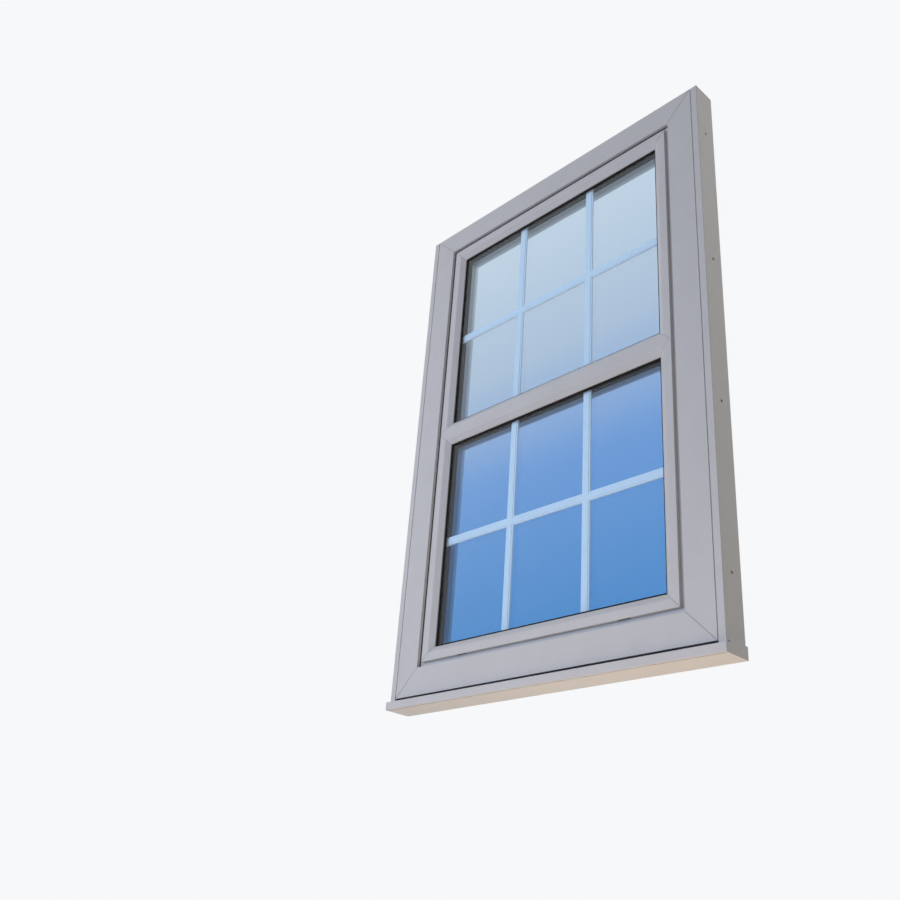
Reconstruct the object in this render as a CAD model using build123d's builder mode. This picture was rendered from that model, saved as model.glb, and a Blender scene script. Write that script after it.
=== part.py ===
from build123d import *

import os

# Tilt and turn window, white uPVC, inward opening, with a mid rail and two sealed units.
# Millimetres. X runs along the window, right as seen from outside. Y runs into the room from the
# frame's outer face. Z runs up from the underside of the cill.

# Outer frame, measured over its welded corners
frame_width = 980.0
frame_height = 1520.0
frame_depth = 70.0
frame_face = 74.0
frame_body = 50.0
frame_nose = 9.0
wall = 2.8
web = 2.2
arris_radius = 1.2
crest_radius = 4.0
nose_radius = 1.0
lap_radius = 2.0
weld_width = 1.8
weld_depth = 0.5

# Gaps between frame and sash
hardware_gap = 12.0
outer_gap = 3.0
room_gap = 4.0
groove_width = 13.0
sash_lap = 8.0

# Sash and mid rail
sash_set_back = 2.0
sash_flat = 22.0
bevel_width = 15.5
bevel_depth = 10.7
nose_edge = 2.8
glass_rebate = 20.0
bead_gap = 0.15
lap_thickness = 8.0
mid_rail_half = 34.25

# Hardware groove round the sash edge
plate_width = 16.0
plate_seat = 3.0
groove_mouth = 12.0
groove_depth = 12.0
groove_from_room = 21.0

# Gaskets between frame and sash
gasket_base = 6.0
gasket_base_height = 1.6
gasket_from_edge = 7.0
gasket_lip_inset = 2.5
room_gasket_base = 5.0
room_gasket_lip = 3.0
room_gasket_inset = 1.0

# Sealed units
pane = 4.0
cavity = 16.0
gasket_thickness = 3.0
unit_clearance = 5.0
spacer_height = 8.0
spacer_wall = 1.0
ground_edge = 0.4
seal_height = 4.0
bar_width = 24.0
bar_thickness = 8.0
bar_crown = 16.0
gasket_lip = 6.0
gasket_lip_inside = 3.0
gasket_foot = 9.0
gasket_foot_outside = 9.8
gasket_foot_inside = 8.0
lip_rise = 2.4
lip_rise_inside = 1.6
lip_slope = 55.0

# Glazing beads and packers
bead_set_back = 0.5
bead_edge_from_room = 20.0
bead_flat = 10.0
bead_radius = 3.0
bead_wall = 2.0
bead_front_wall = 3.5
bead_chamber_end = 24.0
packer_length = 100.0
packer_from_corner = 40.0

# Cill, side strips and fixings
cill_height = 29.0
cill_nose = 10.0
cill_front = 21.0
cill_shelf = 22.0
cill_gap = 8.0
cill_overhang = 3.0
cill_wall = 2.4
cill_nose_radius = 2.0
cill_toe_radius = 1.0
drip_start = 4.0
drip_width = 3.0
drip_depth = 2.0
cap_thickness = 2.0
strip_width = 20.0
strip_wall = 2.0
strip_line = 2.5
strip_rib_half = 6.0
fixing_radius = 4.0
fixing_corner = 150.0
fixing_inner = 400.0
drain_offset = 255.0
drain_length = 34.0
drain_height = 5.0
drain_from_face = 3.0

# Reinforcement
steel_gap = 0.3
steel_wall = 1.5
steel_end = 60.0

# Hinges, rods and handle
hinge_pin = 3.0
hinge_barrel = 5.0
bore_floor = 2.0
pin_end_gap = 0.5
link_crown = 1.0
level_pin_end = 1.0
bracket_length = 48.0
bracket_offset = 8.0
bracket_height = 75.0
bracket_foot = 3.0
bracket_screw_in = 30.0
bracket_screw_levels = (25.0, 60.0)
running_fit = 0.05
turn_offset = 5.5
turn_from_room = 4.0
tilt_drop = 7.0
arm_length = 400.0
arm_thickness = 3.0
rod_width = 9.0
rod_thickness = 2.0
rod_gap = 0.3
rod_travel = 18.0
cam_shank = 3.0
cam_head = 4.0
cam_head_thickness = 2.0
cam_reach = 8.0
backset = 15.0
lever_length = 115.0
spindle_side = 7.0
slip = 0.3
plate_play = 0.2
plate_recess = 0.4
cam_slot_play = 0.5
rod_end_gap = 8.0
arm_width = 14.0
arm_drop = 7.0
crank_gap = 0.5
crank_clearance = 2.0
arm_from_jamb = 2.0
crank_width = 12.0
guide_half = 28.0
guide_width = 12.0
guide_thickness = 2.6
gearbox_half = 62.0
gearbox_behind = 15.0
gearbox_radius = 3.0
screw_spread = 21.5
screw_radius = 2.5
spindle_hole = 5.6
spindle_bore = 5.25

# Levels and places that follow from the sizes above
half_width = frame_width / 2
bottom = cill_height
top = cill_height + frame_height
middle = (bottom + top) / 2
sash_edge = frame_body + hardware_gap
sash_out = frame_body - sash_lap
raised_start = frame_face + groove_width
flat_end = raised_start + sash_flat
nose_tip = flat_end + bevel_width
rebate_base = nose_tip - glass_rebate
flange_y = frame_nose + outer_gap
tip_y = sash_set_back + bevel_depth
glass_stop_y = tip_y + nose_edge
glass_y = glass_stop_y + gasket_thickness
inner_glass_y = glass_y + pane + cavity
bead_y = inner_glass_y + pane + gasket_thickness
lap_y = frame_depth + room_gap
back_y = lap_y + lap_thickness
groove_y = back_y - groove_from_room
groove_side = groove_mouth / 2
plate_side = plate_width / 2
groove_floor = sash_edge + groove_depth
unit_edge = rebate_base + unit_clearance
mid_body_half = mid_rail_half - glass_rebate
sides = ("left", "head", "right", "bottom")
turn_x = -half_width + sash_out - turn_offset
turn_y = lap_y + turn_from_room
tilt_z = bottom + sash_out - tilt_drop
handle_x = half_width - sash_edge - backset
rod_u = sash_edge + plate_seat + rod_gap

os.makedirs("parts", exist_ok=True)


# Keeps and hinge leaves are held by the same countersunk screw
screw_core = 2.0
screw_head = 3.8
screw_length = 16.0
screw_fit = 0.1
screw_taper = 45.0
keep_half = 48.0
keep_screw = 41.0
keep_base = 2.0
lip_start = 7.5
lip_end = 30.0
lip_thickness = 1.8
leaf = 3.0
lock_play = 0.5
tilt_play = 2.6
cam_from_end = 300.0
cam_below_middle = 20.0
top_cam_offset = 200.0
low_cam_left = 320.0
low_cam_right = 120.0
cam_levels = (cam_from_end, frame_height / 2 - cam_below_middle, frame_height - cam_from_end)
top_cam = frame_width / 2 + top_cam_offset
bottom_cams = (frame_width / 2 - low_cam_left, frame_width / 2 + low_cam_right)
cams = {"right": cam_levels, "head": (top_cam,), "bottom": bottom_cams}

# Two hinge leaves on the left jamb's room face, as (lowest, highest) levels
leaf_foot = 5.0
leaf_length = 70.0
leaf_over = 18.0
leaf_half = 13.0
leaf_gap = 1.0
leaf_from_pin = 19.0
knuckle_half = 12.0
knuckle_from_top = 51.0
knuckle_below_tilt = 20.0
lug_height = 10.0
screw_from_foot = 35.0
screw_from_end = 12.0
high_screw_first = 8.0
high_screw_second = 24.0
low_leaf = (bottom + leaf_foot, bottom + leaf_foot + leaf_length)
knuckle_low = tilt_z - knuckle_below_tilt
knuckle_high = top - knuckle_from_top
knuckle_bottom = knuckle_high - 2 * knuckle_half
high_leaf = (knuckle_bottom - knuckle_half - leaf_over, knuckle_high + leaf_over)
leaf_x = turn_x - leaf_from_pin
leaf_screw_levels = (
    low_leaf[0] + screw_from_foot,
    low_leaf[1] - screw_from_end,
    high_leaf[0] + high_screw_first,
    high_leaf[0] + high_screw_second,
)


def save(builder, name):
    """Label a finished piece and write it to its own file."""
    builder.part.label = name
    export_step(builder.part, "parts/" + name + ".step")


def rail_plane(side, edge=0.0, low=bottom, high=top):
    """Section plane at the outer corner where a side starts. Local x points inwards, y to the room."""
    half = half_width - edge
    if side == "left":
        return Plane(origin=(-half, 0, low + edge), x_dir=(1, 0, 0), z_dir=(0, 0, 1))
    if side == "head":
        return Plane(origin=(-half, 0, high - edge), x_dir=(0, 0, -1), z_dir=(1, 0, 0))
    if side == "right":
        return Plane(origin=(half, 0, high - edge), x_dir=(-1, 0, 0), z_dir=(0, 0, -1))
    return Plane(origin=(half, 0, low + edge), x_dir=(0, 0, 1), z_dir=(-1, 0, 0))


def rail_length(side, low=bottom, high=top):
    """Length of a side of the outer frame, corner to corner."""
    return high - low if side in ("left", "right") else 2 * half_width


def mitre(plane, length, gap=0.0):
    """Cut both ends of the extruded rail at 45 degrees, through its outer corners."""
    near = plane.origin + plane.z_dir * gap
    far = plane.origin + plane.z_dir * (length - gap)
    split(bisect_by=Plane(origin=near, z_dir=plane.z_dir - plane.x_dir), keep=Keep.TOP)
    split(bisect_by=Plane(origin=far, z_dir=-plane.z_dir - plane.x_dir), keep=Keep.TOP)


def outline(points, mode=Mode.ADD):
    """A closed face through the points."""
    Polygon(*points, align=None, mode=mode)


def cell(u0, y0, u1, y1, mode=Mode.SUBTRACT):
    """A rectangle between two corners, such as one hollow chamber of a section."""
    with Locations(((u0 + u1) / 2, (y0 + y1) / 2)):
        Rectangle(u1 - u0, y1 - y0, mode=mode)


def ease(sketch, u, y, radius=arris_radius):
    """Round the corner of the section nearest to a point."""
    fillet(sketch.vertices().sort_by_distance((u, y, 0))[0], radius)


def depth_plane(y):
    """Plane at depth y. Local x is X and local y is Z, and a negative extrusion runs to the room."""
    return Plane.XZ.offset(-y)


def block(x0, x1, y0, y1, z0, z1, mode=Mode.ADD):
    """A rectangular block between two corners."""
    with Locations(((x0 + x1) / 2, (y0 + y1) / 2, (z0 + z1) / 2)):
        Box(x1 - x0, y1 - y0, z1 - z0, mode=mode)


def ring(inset, width, y0, y1, low=bottom, high=top, mode=Mode.ADD):
    """A rectangular ring that follows the frame: inset from its edge, with a width and a depth."""
    wide = 2 * (half_width - inset)
    tall = high - low - 2 * inset
    with BuildSketch(depth_plane(y0)) as band:
        with Locations((0, (low + high) / 2)):
            Rectangle(wide, tall)
            Rectangle(wide - 2 * width, tall - 2 * width, mode=Mode.SUBTRACT)
    extrude(band.sketch, amount=-(y1 - y0), mode=mode)


def screw_plane(side, station):
    """Plane on the frame's rebate at a station along a side. Local z points into the gap."""
    base = rail_plane(side)
    spot = base.origin + base.z_dir * station + base.x_dir * frame_body + Vector(0, groove_y, 0)
    return Plane(origin=spot, x_dir=(0, 1, 0), z_dir=base.x_dir)


def frame_screw_planes(side):
    """Seats of every hardware screw in one side of the frame, with local z out of the material."""
    seats = []
    for station in cams.get(side, ()):
        for step in (-keep_screw, keep_screw):
            seats.append((screw_plane(side, station + step), keep_base))
    if side == "left":
        for level in leaf_screw_levels:
            spot = (leaf_x, frame_depth, level)
            seats.append((Plane(origin=spot, x_dir=(1, 0, 0), z_dir=(0, 1, 0)), leaf))
    return seats


def pilot_hole(plane, depth, radius=screw_core + screw_fit):
    """Round hole from a plane downwards."""
    with BuildSketch(plane) as hole:
        Circle(radius)
    extrude(hole.sketch, amount=-depth, mode=Mode.SUBTRACT)


def screw(plane, stand):
    """Countersunk screw whose head is flush with a plate that stands on the plane."""
    with BuildSketch(plane.offset(stand)) as head:
        Circle(screw_head)
    extrude(head.sketch, amount=-(screw_head - screw_core), taper=screw_taper)
    with BuildSketch(plane.offset(stand)) as shank:
        Circle(screw_core)
    extrude(shank.sketch, amount=-screw_length)


def countersink(plane, stand):
    """Tapered seat for that screw, through the plate."""
    with BuildSketch(plane.offset(stand)) as mouth:
        Circle(screw_head + screw_fit)
    extrude(mouth.sketch, amount=-(screw_head - screw_core), taper=screw_taper, mode=Mode.SUBTRACT)
    with BuildSketch(plane.offset(stand)) as bore:
        Circle(screw_core + screw_fit)
    extrude(bore.sketch, amount=-stand, mode=Mode.SUBTRACT)


# Section of the outer frame: three chambers behind the face, one in the nose. A cut that has to
# clear a surface goes a little past it
chamber_u = 6.0
front_chamber = 18.2
room_chamber = 15.0
frame_chamber_end = frame_body - wall
frame_steel_start = front_chamber + wall
frame_steel_end = frame_depth - room_chamber
past = 1.0


def frame_section(skin=0.0):
    """Section of the outer frame. A skin can be taken off its two flat faces for the weld grooves."""
    with BuildSketch() as section:
        outline(
            [
                (0, 0),
                (frame_face, 0),
                (frame_face, frame_nose),
                (frame_body, frame_nose),
                (frame_body, frame_depth),
                (0, frame_depth),
            ]
        )
        ease(section, 0, 0, arris_radius / 2)
        ease(section, frame_face, 0)
        ease(section, frame_body, frame_depth)
        cell(wall, wall, frame_chamber_end, front_chamber)
        cell(frame_body, wall, frame_face - wall, frame_nose - wall)
        cell(chamber_u, frame_steel_start, frame_chamber_end, frame_steel_end)
        cell(wall, frame_steel_end + wall, frame_chamber_end, frame_depth - wall)
        if skin:
            cell(-past, -past, frame_face + past, skin)
            cell(-past, frame_depth - skin, frame_body + past, frame_depth + past)
    return section.sketch


def run_section(plane, face, amount):
    """Lay a finished section on a plane and extrude it along the rail."""
    with BuildSketch(plane) as placed:
        add(face)
    extrude(placed.sketch, amount=amount)


def welded_rail(plane, length, face, core):
    """A rail whose flat faces stop short of the mitre, so that the weld lies in a shallow groove."""
    with BuildPart() as rail:
        run_section(plane, face, length)
        mitre(plane, length, weld_width / 2**0.5)
        with BuildPart(mode=Mode.PRIVATE) as inner:
            run_section(plane, core, length)
            mitre(plane, length)
        add(inner.part)
    return rail.part


frame_face_section = frame_section()
frame_core_section = frame_section(weld_depth)
fixing_levels = [
    bottom + fixing_corner,
    middle - fixing_inner / 2,
    middle + fixing_inner / 2,
    top - fixing_corner,
]


def drill_fixings(x0, x1):
    """Fixing holes along X between two places, at every fixing level."""
    for level in fixing_levels:
        with BuildSketch(Plane(origin=(x0, frame_depth / 2, level), z_dir=(1, 0, 0))) as hole:
            Circle(fixing_radius)
        extrude(hole.sketch, amount=x1 - x0, mode=Mode.SUBTRACT)


frame_names = {
    "left": "frame_left_jamb",
    "head": "frame_head",
    "right": "frame_right_jamb",
    "bottom": "frame_sill_rail",
}
for side in sides:
    start = rail_plane(side)
    length = rail_length(side)
    welded = welded_rail(start, length, frame_face_section, frame_core_section)
    with BuildPart() as frame_rail:
        add(welded)
        for seat, _ in frame_screw_planes(side):
            pilot_hole(seat, screw_length)
        if side == "left":
            drill_fixings(-half_width, -half_width + frame_body)
        if side == "right":
            drill_fixings(half_width - frame_body, half_width)
    save(frame_rail, frame_names[side])


def steel_box(u0, y0, u1, y1):
    """Galvanised box section that fills a chamber with a small gap."""
    with BuildSketch() as section:
        cell(u0 + steel_gap, y0 + steel_gap, u1 - steel_gap, y1 - steel_gap, mode=Mode.ADD)
        inner = steel_gap + steel_wall
        cell(u0 + inner, y0 + inner, u1 - inner, y1 - inner)
    return section.sketch


def steels(pair, face, edge, name, drilled=False):
    """Two equal steels, square cut and short of the welded corners."""
    with BuildPart() as steel_pair:
        for one in pair:
            plane = rail_plane(one)
            run_section(plane.offset(edge + steel_end), face, rail_length(one) - 2 * (edge + steel_end))
            if drilled:
                for seat, _ in frame_screw_planes(one):
                    pilot_hole(seat, screw_length)
        if drilled:
            drill_fixings(-half_width, -half_width + frame_body)
            drill_fixings(half_width - frame_body, half_width)
    save(steel_pair, name)


frame_steel_section = steel_box(chamber_u, frame_steel_start, frame_chamber_end, frame_steel_end)
steels(("left", "right"), frame_steel_section, 0, "frame_jamb_steels", drilled=True)
steels(("head", "bottom"), frame_steel_section, 0, "frame_rail_steels", drilled=True)

# Weather gasket on the inner side of the frame's nose. Its lip stands out of the groove
with BuildPart() as frame_gasket:
    base_u = frame_face - gasket_from_edge
    base_end = frame_nose + gasket_base_height
    ring(base_u, gasket_base, frame_nose, base_end)
    ring(base_u + gasket_lip_inset, gasket_base, base_end, flange_y - slip)
save(frame_gasket, "frame_gasket")

# Section of the sash
web_behind_nose = 0.5
steel_from_glass = 3.5
front_web_y = glass_stop_y - web_behind_nose
sash_steel_start = glass_y + steel_from_glass
sash_steel_end = groove_y - plate_side - wall
crown_inset = 1.0
crown_depth = 0.8
sash_chamber_end = rebate_base - wall


def sash_section(skin=0.0):
    """Section of the sash. A skin can be taken off its outer face, bevel and room face."""
    with BuildSketch() as section:
        outline(
            [
                (sash_edge, flange_y),
                (raised_start, flange_y),
                (raised_start, sash_set_back),
                (flat_end, sash_set_back),
                (nose_tip, tip_y),
                (nose_tip, glass_stop_y),
                (rebate_base, glass_stop_y),
                (rebate_base, back_y),
                (sash_out, back_y),
                (sash_out, lap_y),
                (sash_edge, lap_y),
            ]
        )
        ease(section, raised_start, sash_set_back)
        ease(section, flat_end, sash_set_back, crest_radius)
        ease(section, nose_tip, tip_y, nose_radius)
        ease(section, sash_out, back_y, lap_radius)
        seat_end = sash_edge + plate_seat
        cell(sash_edge, groove_y - plate_side, seat_end, groove_y + plate_side)
        cell(seat_end, groove_y - groove_side, groove_floor, groove_y + groove_side)
        rise = bevel_depth / bevel_width
        crown_end = flat_end - crown_inset
        crown_y = sash_set_back + wall
        crown_drop = (tip_y - crown_y) * crown_depth
        outline(
            [
                (raised_start + wall, crown_y),
                (crown_end, crown_y),
                (crown_end + crown_drop / rise, crown_y + crown_drop),
                (crown_end + crown_drop / rise, tip_y),
                (raised_start + wall, tip_y),
            ],
            mode=Mode.SUBTRACT,
        )
        cell(sash_edge + wall, front_web_y, sash_chamber_end, sash_steel_start - web)
        cell(sash_edge + wall, sash_steel_start, sash_chamber_end, sash_steel_end)
        cell(groove_floor + wall, sash_steel_end + web, sash_chamber_end, back_y - wall)
        cell(sash_out + wall, lap_y + wall, sash_edge + plate_side, back_y - wall)
        if skin:
            outline(
                [
                    (raised_start - past, 0),
                    (raised_start - past, sash_set_back + skin),
                    (flat_end, sash_set_back + skin),
                    (nose_tip + past, tip_y + rise * past + skin),
                    (nose_tip + past, 0),
                ],
                mode=Mode.SUBTRACT,
            )
            cell(sash_out - past, back_y - skin, rebate_base + past, back_y + past)
    return section.sketch


sash_face_section = sash_section()
sash_core_section = sash_section(weld_depth)
apex_u = rebate_base - mid_body_half


def cut_mid_rail_notch(side):
    """V notch in a stile's inner side that takes the pointed end of the mid rail."""
    sign = -1 if side == "left" else 1
    reach = nose_tip - apex_u + past
    apex_x = sign * (half_width - apex_u)
    with BuildSketch(depth_plane(0)) as notch:
        outline(
            [
                (apex_x, middle),
                (apex_x - sign * reach, middle + reach),
                (apex_x - sign * reach, middle - reach),
            ]
        )
    extrude(notch.sketch, amount=-back_y, mode=Mode.SUBTRACT)


bracket_x0 = turn_x + hinge_barrel + slip
bracket_x1 = bracket_x0 + bracket_length
bracket_screw_x = bracket_x0 + bracket_screw_in
bracket_screws = [
    Plane(origin=(bracket_screw_x, back_y, tilt_z + rise), x_dir=(1, 0, 0), z_dir=(0, 1, 0))
    for rise in bracket_screw_levels
]
gearbox_start = rod_u + rod_thickness + slip
gearbox_end = sash_edge + backset + gearbox_behind
handle_screws = ((handle_x, middle + screw_spread), (handle_x, middle - screw_spread))

sash_names = {
    "left": "sash_left_stile",
    "head": "sash_top_rail",
    "right": "sash_right_stile",
    "bottom": "sash_bottom_rail",
}
for side in sides:
    start = rail_plane(side)
    length = rail_length(side)
    welded = welded_rail(start, length, sash_face_section, sash_core_section)
    with BuildPart() as sash_rail:
        add(welded)
        if side in ("left", "right"):
            cut_mid_rail_notch(side)
        if side in ("left", "bottom"):
            for seat in bracket_screws:
                pilot_hole(seat, screw_length)
        if side == "bottom":
            for place in (-drain_offset, drain_offset):
                drain_y = sash_set_back + drain_from_face
                block(
                    place - drain_length / 2,
                    place + drain_length / 2,
                    drain_y,
                    drain_y + drain_height,
                    bottom + raised_start - past,
                    bottom + raised_start + wall + past / 2,
                    mode=Mode.SUBTRACT,
                )
        if side == "right":
            block(
                half_width - gearbox_end - slip,
                half_width - groove_floor,
                groove_y - groove_side + slip / 3,
                groove_y + groove_side - slip / 3,
                middle - gearbox_half - slip,
                middle + gearbox_half + slip,
                mode=Mode.SUBTRACT,
            )
            with BuildSketch(depth_plane(groove_y)):
                with Locations((handle_x, middle)):
                    Circle(spindle_hole)
                with Locations(*handle_screws):
                    Circle(screw_radius + slip)
            extrude(amount=-(back_y - groove_y), mode=Mode.SUBTRACT)
    save(sash_rail, sash_names[side])

sash_steel_section = steel_box(sash_edge + wall, sash_steel_start, sash_chamber_end, sash_steel_end)
steels(("left", "right"), sash_steel_section, sash_edge, "sash_stile_steels")
steels(("head", "bottom"), sash_steel_section, sash_edge, "sash_rail_steels")


mid_crown_slope = 0.6


def mid_rail_section(skin=0.0):
    """T-shaped section of the mid rail: two bevelled noses and a narrow body between the units."""
    flat_half = mid_rail_half - bevel_width
    with BuildSketch() as section:
        outline(
            [
                (-flat_half, sash_set_back),
                (flat_half, sash_set_back),
                (mid_rail_half, tip_y),
                (mid_rail_half, glass_stop_y),
                (mid_body_half, glass_stop_y),
                (mid_body_half, back_y),
                (-mid_body_half, back_y),
                (-mid_body_half, glass_stop_y),
                (-mid_rail_half, glass_stop_y),
                (-mid_rail_half, tip_y),
            ]
        )
        for sign in (-1, 1):
            ease(section, sign * flat_half, sash_set_back, crest_radius)
            ease(section, sign * mid_rail_half, tip_y, nose_radius)
        body = mid_body_half - wall
        crown_y = sash_set_back + wall
        spread = flat_half + (tip_y - crown_y) * mid_crown_slope
        outline(
            [(-flat_half, crown_y), (flat_half, crown_y), (spread, tip_y), (-spread, tip_y)],
            mode=Mode.SUBTRACT,
        )
        cell(-body, sash_steel_start, body, sash_steel_end)
        cell(-body, sash_steel_end + web, body, back_y - wall)
        if skin:
            edge_y = tip_y + bevel_depth / bevel_width * past + skin
            outline(
                [
                    (-mid_rail_half - past, 0),
                    (-mid_rail_half - past, edge_y),
                    (-flat_half, sash_set_back + skin),
                    (flat_half, sash_set_back + skin),
                    (mid_rail_half + past, edge_y),
                    (mid_rail_half + past, 0),
                ],
                mode=Mode.SUBTRACT,
            )
            cell(-mid_rail_half, back_y - skin, mid_rail_half, back_y + past)
    return section.sketch


mid_apex_x = half_width - apex_u


def pointed_rail(face, gap):
    """Mid rail with both ends cut to a V, short of the notches by a gap."""
    reach = mid_apex_x - gap
    with BuildPart() as rail:
        plane = Plane(origin=(-mid_apex_x, 0, middle), x_dir=(0, 0, -1), z_dir=(1, 0, 0))
        run_section(plane, face, 2 * mid_apex_x)
        for sign in (-1, 1):
            for lean in (-1, 1):
                apex = (sign * reach, 0, middle)
                split(bisect_by=Plane(origin=apex, z_dir=(-sign, 0, lean)), keep=Keep.TOP)
    return rail.part


mid_rail_skin = pointed_rail(mid_rail_section(), weld_width / 2**0.5)
mid_rail_core = pointed_rail(mid_rail_section(weld_depth), 0.0)
with BuildPart() as sash_mid_rail:
    add(mid_rail_skin)
    add(mid_rail_core)
save(sash_mid_rail, "sash_mid_rail")

with BuildPart() as mid_rail_steel:
    steel_run = mid_apex_x - mid_body_half - steel_end / 2
    steel_plane = Plane(origin=(-steel_run, 0, middle), x_dir=(0, 0, -1), z_dir=(1, 0, 0))
    half_body = mid_body_half - wall
    mid_steel_section = steel_box(-half_body, sash_steel_start, half_body, sash_steel_end)
    run_section(steel_plane, mid_steel_section, 2 * steel_run)
save(mid_rail_steel, "mid_rail_steel")

# Room-side gasket on the sash lap. It stops just short of the frame, and is cut away for the crank
with BuildPart() as sash_gasket:
    base_y = lap_y - gasket_base_height
    lip_inset = (room_gasket_base - room_gasket_lip) / 2
    ring(sash_out + room_gasket_inset, room_gasket_base, base_y, lap_y)
    ring(sash_out + room_gasket_inset + lip_inset, room_gasket_lip, frame_depth + slip, base_y)
    notch_x = -half_width + sash_out
    notch_end = notch_x + room_gasket_base + 3 * room_gasket_inset
    notch_z = knuckle_bottom - crank_clearance
    notch_top = knuckle_high + crank_clearance
    block(notch_x, notch_end, frame_depth, lap_y, notch_z, notch_top, mode=Mode.SUBTRACT)
save(sash_gasket, "sash_gasket")

# Two lights. Each is a ring of the same insets between its own bottom and top levels
lights = {
    "lower": (bottom, middle - mid_body_half + rebate_base),
    "upper": (middle + mid_body_half - rebate_base, top),
}


def glass_pane(y, low, high):
    """One pane with ground edges."""
    with BuildPart() as sheet:
        with BuildSketch(depth_plane(y)):
            with Locations((0, (low + high) / 2)):
                Rectangle(2 * (half_width - unit_edge), high - low - 2 * unit_edge)
        extrude(amount=-pane)
        chamfer(sheet.edges().filter_by(Axis.Y, reverse=True), ground_edge)
    return sheet


def bar_grid(low, high):
    """Square-crossed bars inside the cavity: a wide thin bar with a raised flat crown."""
    centre = (low + high) / 2
    reach = unit_edge + seal_height + spacer_height
    half_w = half_width - reach
    half_h = (high - low) / 2 - reach
    bar_y = glass_y + pane + cavity / 2
    step = bar_thickness / 5
    bars_across = 3
    unit_width = 2 * (half_width - unit_edge)
    with BuildPart() as bars:
        for width, thick in ((bar_width, bar_thickness - 2 * step), (bar_crown, bar_thickness)):
            with BuildSketch(depth_plane(bar_y - thick / 2)):
                with Locations((0, centre)):
                    Rectangle(2 * half_w, width)
                spot = unit_width / bars_across / 2
                with Locations((-spot, centre), (spot, centre)):
                    Rectangle(width, 2 * half_h)
            extrude(amount=-thick)
    return bars


def bead_section():
    """Glazing bead: a hollow snap-in strip with a sloping room face."""
    bead_edge = nose_tip - bead_set_back
    slope_y = back_y - bead_edge_from_room
    with BuildSketch() as section:
        outline(
            [
                (rebate_base, bead_y),
                (bead_edge, bead_y),
                (bead_edge, slope_y),
                (rebate_base + bead_flat, back_y),
                (rebate_base, back_y),
            ]
        )
        ease(section, bead_edge, slope_y, bead_radius)
        ease(section, rebate_base + bead_flat, back_y, bead_radius)
        chamber_end = back_y - bead_chamber_end
        cell(rebate_base + bead_wall, bead_y + bead_wall, bead_edge - bead_front_wall, chamber_end)
    return section.sketch


def gasket_lip_ring(low, high, y, rise, lip):
    """Thin lip of a gasket that slopes down to the glass, from the nose outwards."""
    inset = nose_tip - gasket_foot
    wide = 2 * (half_width - inset)
    tall = high - low - 2 * inset
    width = gasket_foot + lip
    with BuildSketch(depth_plane(y)) as band:
        with Locations((0, (low + high) / 2)):
            Rectangle(wide, tall)
            Rectangle(wide - 2 * width, tall - 2 * width, mode=Mode.SUBTRACT)
    extrude(band.sketch, amount=rise, taper=lip_slope)


bead_face_section = bead_section()
for light, (low, high) in lights.items():
    save(glass_pane(glass_y, low, high), light + "_outer_pane")
    save(glass_pane(inner_glass_y, low, high), light + "_inner_pane")
    with BuildPart() as spacer:
        ring(unit_edge + seal_height, spacer_height, glass_y + pane, inner_glass_y, low, high)
        inner = unit_edge + seal_height + spacer_wall
        near_y = glass_y + pane + spacer_wall
        far_y = inner_glass_y - spacer_wall
        ring(inner, spacer_height - 2 * spacer_wall, near_y, far_y, low, high, Mode.SUBTRACT)
    save(spacer, light + "_spacer_bar")
    save(bar_grid(low, high), light + "_georgian_bars")
    with BuildPart() as seals:
        foot_u = nose_tip - gasket_foot
        room_glass_y = bead_y - gasket_thickness
        ring(foot_u, gasket_foot_outside, glass_stop_y, glass_y, low, high)
        gasket_lip_ring(low, high, glass_y, lip_rise, gasket_lip)
        ring(foot_u, gasket_foot_inside, room_glass_y, bead_y, low, high)
        gasket_lip_ring(low, high, room_glass_y, -lip_rise_inside, gasket_lip_inside)
    save(seals, light + "_glazing_gaskets")
    with BuildPart() as edge_seal:
        ring(unit_edge, seal_height, glass_y + pane, inner_glass_y, low, high)
    save(edge_seal, light + "_edge_seal")
    with BuildPart() as beads:
        for side in sides:
            start = rail_plane(side, 0.0, low, high)
            with BuildPart(mode=Mode.PRIVATE) as bead:
                run_section(start, bead_face_section, rail_length(side, low, high))
                mitre(start, rail_length(side, low, high), bead_gap)
            add(bead.part)
    save(beads, light + "_glazing_beads")

# Glazing packers carry each unit on the rebate: two below, two above and one at each side
with BuildPart() as glazing_packers:
    for low, high in lights.values():
        for spot in (-frame_width / 4, frame_width / 4):
            for end in (low + rebate_base, high - unit_edge):
                x0 = spot - packer_length / 2
                block(x0, x0 + packer_length, glass_y, inner_glass_y + pane, end, end + unit_clearance)
        low_level = low + unit_edge + packer_from_corner
        high_level = high - unit_edge - packer_from_corner - packer_length
        for sign, level in ((-1, low_level), (1, high_level)):
            x0 = sign * (half_width - rebate_base - unit_clearance / 2) - unit_clearance / 2
            x1 = x0 + unit_clearance
            block(x0, x1, glass_y, inner_glass_y + pane, level, level + packer_length)
save(glazing_packers, "glazing_packers")

# Cill under the frame: hollow, with a rounded nose, a drip groove and a step below the frame
cill_half = half_width + strip_width + cill_overhang


def cill_outline(section):
    """Outer shape of the cill's section, with its rounded nose."""
    outline(
        [
            (-cill_nose, 0),
            (-cill_nose, cill_front),
            (0, cill_shelf),
            (cill_gap, cill_shelf),
            (cill_gap, cill_height),
            (frame_depth, cill_height),
            (frame_depth, 0),
        ]
    )
    ease(section, -cill_nose, cill_front, cill_nose_radius)
    ease(section, -cill_nose, 0, cill_toe_radius)


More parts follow.
